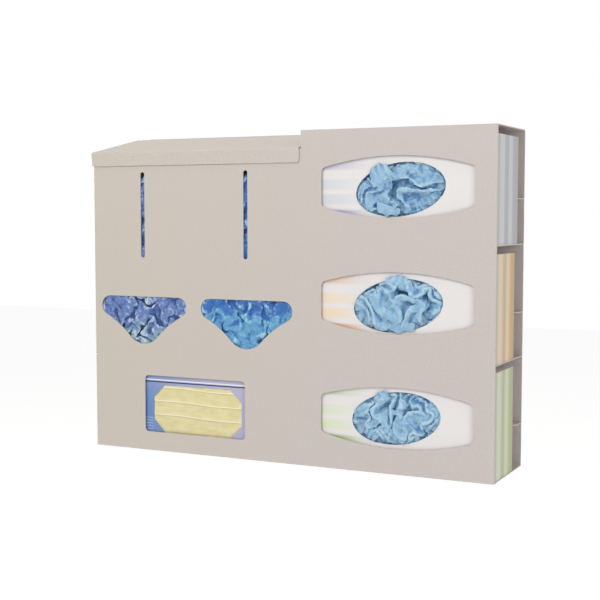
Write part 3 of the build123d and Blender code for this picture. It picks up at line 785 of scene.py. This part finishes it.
def cap_heap(side, sheet, material):
    """Carries the sheet over one bin's heap. s is the way along it, from the heap's foot."""
    low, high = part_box(f"{side}_bin_fill")
    x0, y0, z0 = low / MM
    x1, y1, _ = high / MM
    u, v, h = sheet.T
    u = u * (x1 - x0) / heap_wide
    # folds are flattened, and pressed softly against the sheet metal in front
    h = h * 0.6 - 1.5
    room_left = (HIGHEST_FOLD - np.maximum(h, DEEPEST_FOLD)) / SOFT_LIMIT
    h = HIGHEST_FOLD - SOFT_LIMIT * np.log1p(np.exp(room_left))
    s = v + length / 2
    turn = np.clip((s - shoulder_starts) / shoulder_arc, 0, 1) * math.pi / 2
    rise = np.minimum(s, shoulder_starts)
    run = np.maximum(s - shoulder_starts - shoulder_arc, 0)
    y = y0 + 1 + SHOULDER * (1 - np.cos(turn)) + run - h * np.cos(turn)
    z = z0 + rise + (SHOULDER - TOP_SUNK + h) * np.sin(turn)
    x = np.clip((x0 + x1) / 2 + u, x0, x1)
    front = np.stack([x, np.minimum(y, y1 - 1), np.maximum(z, z0)], axis=1)
    piece = closed_piece(f"{side}_caps", front, veil_faces, y1)
    crinkle(piece, 3.6, 1.2, 3 + len(side))
    mark_fold_shade_and_highlight(piece, 40, 2.2)
    finish_soft(piece, material)
    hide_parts(f"{side}_bin_fill")
    front_at = round(float(front[:, 1].min()), 1)
    print(side, "caps:", len(piece.data.polygons), "faces, front at", front_at, "mm")


violet_veil = spunbond("violet_blue_spunbond", "#35528E", "#7FA2BA", "#6682BC", "#C4D4E0", 9,
                       (0.166, 0.180))
sky_veil = spunbond("sky_blue_spunbond", "#3570B8", "#64A3CD", "#3F74BC", "#A3D3E8", 11,
                    (0.200, 0.206))
cap_heap("left", veil_sheet, violet_veil)
# the right heap is the same sheet turned end for end, so that another part of it faces the window
cap_heap("right", veil_sheet[::-1] * np.array([-1, -1, 1]), sky_veil)

# %% [markdown]
# ## Pleated masks
#
# A procedure mask is three plies of nonwoven, pressed into level pleats that overlap like
# slates. The pleats follow a rule, so Geometry Nodes make the front one: a grid whose height
# is a sawtooth of its own place, with the pleat's spacing, depth and slope as inputs.

# %% The pleat tree
MASK_CELLS = 120
PLEAT_SPACING, PLEAT_SLOPE = 19.5, 0.03
LOWEST_PLEAT = -11.0
SWAY_TURN, SWAY_REACH = 0.07, 0.5


def pleat_tree(material):
    tree = bpy.data.node_groups.new("pleats", "GeometryNodeTree")
    defaults = {"Width": 0.15, "Height": 0.08, "Spacing": 0.02, "Depth": 0.001, "Slope": 0.03}
    for name, value in defaults.items():
        socket = tree.interface.new_socket(name, in_out="INPUT", socket_type="NodeSocketFloat")
        socket.default_value = value
    tree.interface.new_socket("Geometry", in_out="OUTPUT", socket_type="NodeSocketGeometry")
    given = add_node(tree, "NodeGroupInput").outputs
    grid = add_node(tree, "GeometryNodeMeshGrid", {
        "Size X": given["Width"], "Size Y": given["Height"],
        "Vertices X": MASK_CELLS + 1, "Vertices Y": MASK_CELLS + 1})
    spot = add_node(tree, "GeometryNodeInputPosition").outputs[0]
    at = add_node(tree, "ShaderNodeSeparateXYZ", {0: spot}).outputs
    # the level at which a point lies among the pleats, which slope and sway a little
    sway = times(tree, math_node(tree, "SINE", times(tree, at[0], SWAY_TURN / MM)), SWAY_REACH * MM)
    level = math_node(tree, "ADD", at[1], times(tree, at[0], given["Slope"]))
    level = math_node(tree, "ADD", level, sway)
    held = math_node(tree, "MAXIMUM", level, (LOWEST_PLEAT - 0.2) * MM)
    risen = math_node(tree, "ADD", held, -LOWEST_PLEAT * MM)
    phase = math_node(tree, "FRACT", math_node(tree, "DIVIDE", risen, given["Spacing"]))
    # each pleat stands out at its lower edge and slopes back to the next one
    swell = math_node(tree, "POWER", math_node(tree, "SUBTRACT", 1.0, phase), 2.2)
    crease = soft_step(tree, phase, 0.0, 0.05)
    height = times(tree, times(tree, swell, crease), given["Depth"])
    rumple = add_node(tree, "ShaderNodeTexNoise", {"Scale": 45.0, "Detail": 2.0, "Distortion": 0.6})
    rumpled = math_node(tree, "ADD", height, times(tree, rumple.outputs[0], 1.2 * MM))
    place = add_node(tree, "ShaderNodeCombineXYZ", {0: at[0], 1: times(tree, rumpled, -1.0), 2: at[1]})
    stood = add_node(tree, "GeometryNodeSetPosition", {
        "Geometry": grid.outputs[0], "Position": place.outputs[0]})
    real = add_node(tree, "GeometryNodeRealizeInstances", {0: stood.outputs[0]})
    done = add_node(tree, "GeometryNodeSetMaterial", {
        "Geometry": real.outputs[0], "Material": material})
    add_node(tree, "NodeGroupOutput", {0: done.outputs[0]})
    return tree


def made_by(tree, name, **values):
    """Runs a tree with its named inputs and returns the result as a plain mesh object."""
    piece = bpy.data.objects.new(name, bpy.data.meshes.new(name))
    bpy.context.scene.collection.objects.link(piece)
    modifier = piece.modifiers.new("made", "NODES")
    modifier.node_group = tree
    for socket in tree.interface.items_tree:
        if socket.in_out == "INPUT" and socket.name in values:
            modifier[socket.identifier] = values[socket.name]
    piece.update_tag()
    keep_shown_mesh(piece)
    return piece


print("pleat tree ready")

# %% [markdown]
# The mask's cloth is dyed a pale straw yellow. Its fibres are bonded at a field of tiny points,
# and a painted highlight runs along each pleat's lower edge and on the crests of its folds.

# %% The front mask
DOT_MM = 1.5
OPENING_MM = (141.5, 68.0)
OPENING_CHAMFER = 18.0
MASK_CENTRE = (-130.2, 60.0)
MASK_Y, MASK_NEAREST_Y, MASKS_BACK_Y = -119.5, -122.8, -40.0


def mask_cloth():
    material, tree, shader, where = new_finish("yellow_nonwoven", Roughness=0.8, IOR=1.5)
    shader.inputs["Sheen Weight"].default_value = 0.2
    drawn = add_node(tree, "ShaderNodeMapping", {
        "Vector": where, "Rotation": (0, 0.35, 0), "Scale": (0.35, 1.0, 1.0)})
    mottle = add_noise(tree, drawn.outputs[0], 6, Detail=4.0)
    cloth = mix_colours(tree, soft_step(tree, mottle, 0.3, 0.72), srgb("#DDD29B"), srgb("#E7DDAE"))
    fold_shade_and_highlight = add_node(tree, "ShaderNodeAttribute", attribute_name="fold_shade_and_highlight").outputs["Fac"]
    # painted highlight on the crests of the folds
    cloth = mix_colours(tree, soft_step(tree, fold_shade_and_highlight, 0.62, 0.9), cloth, srgb("#EEE6BE"))
    # painted highlight along each pleat's lower edge
    pleat_highlight = add_node(tree, "ShaderNodeAttribute", attribute_name="pleat_edge_highlight").outputs["Fac"]
    cloth = mix_colours(tree, pleat_highlight, cloth, srgb("#F8F3D2"))
    tree.links.new(cloth, shader.inputs["Base Color"])
    dots = add_node(tree, "ShaderNodeTexVoronoi", {"Vector": where, "Scale": 1.0 / (DOT_MM * MM)})
    fibres = math_node(tree, "ADD", soft_step(tree, dots.outputs[0], 0.1, 0.4), mottle)
    add_bump(tree, shader, fibres, 0.4, 0.15)
    return material


def inside_opening(x, z):
    """How far inside the carton's chamfered opening a point lies, given from its centre."""
    half_wide, half_tall = OPENING_MM[0] / 2, OPENING_MM[1] / 2
    to_sides = np.minimum(half_wide - np.abs(x), half_tall - np.abs(z))
    to_chamfers = (half_wide + half_tall - OPENING_CHAMFER - np.abs(x) - np.abs(z)) / math.sqrt(2)
    return np.minimum(to_sides, to_chamfers)


yellow = mask_cloth()
mask = made_by(pleat_tree(yellow), "front_mask", Width=0.149, Height=0.086,
               Spacing=PLEAT_SPACING * MM, Depth=0.0026, Slope=PLEAT_SLOPE)
points = np.array([v.co for v in mask.data.vertices]) / MM
bpy.data.objects.remove(mask)
x, y, z = points.T
# inside the opening the mask swells forward, and around it the sheet lies back behind the board
proud = np.clip((inside_opening(x, z) - 0.3) / 2.5, 0, 1) ** 0.6
y = np.maximum(MASK_Y - 0.3 * proud + y * (0.25 + 0.75 * proud), MASK_NEAREST_Y)
front = np.stack([x + MASK_CENTRE[0], y, z + MASK_CENTRE[1]], axis=1)
# the points are put in rows from the bottom up, as the faces below need them
front = front[np.lexsort((np.round(front[:, 0], 3), np.round(front[:, 2], 3)))]
faces = grid_faces(MASK_CELLS, MASK_CELLS)
masks = closed_piece("pleated_masks", front, faces, MASKS_BACK_Y)
mark_fold_shade_and_highlight(masks, 30, 0.9)
spots = np.array([v.co for v in masks.data.vertices]) / MM
reach_x, reach_z = spots[:, 0] - MASK_CENTRE[0], spots[:, 2] - MASK_CENTRE[1]
level = reach_z + PLEAT_SLOPE * reach_x + SWAY_REACH * np.sin(SWAY_TURN * reach_x)
phase = (level - LOWEST_PLEAT) / PLEAT_SPACING % 1.0
on_pleats = level > LOWEST_PLEAT - 1
# where each pleat's lower edge lies, for its painted highlight
mark(masks, "pleat_edge_highlight", np.clip(1.0 - np.abs(phase - 0.08) / 0.07, 0, 1) * on_pleats)
finish_soft(masks, yellow)
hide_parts("mask_stack")
print("masks:", len(masks.data.polygons), "faces, front at", round(float(front[:, 1].min()), 1), "mm")
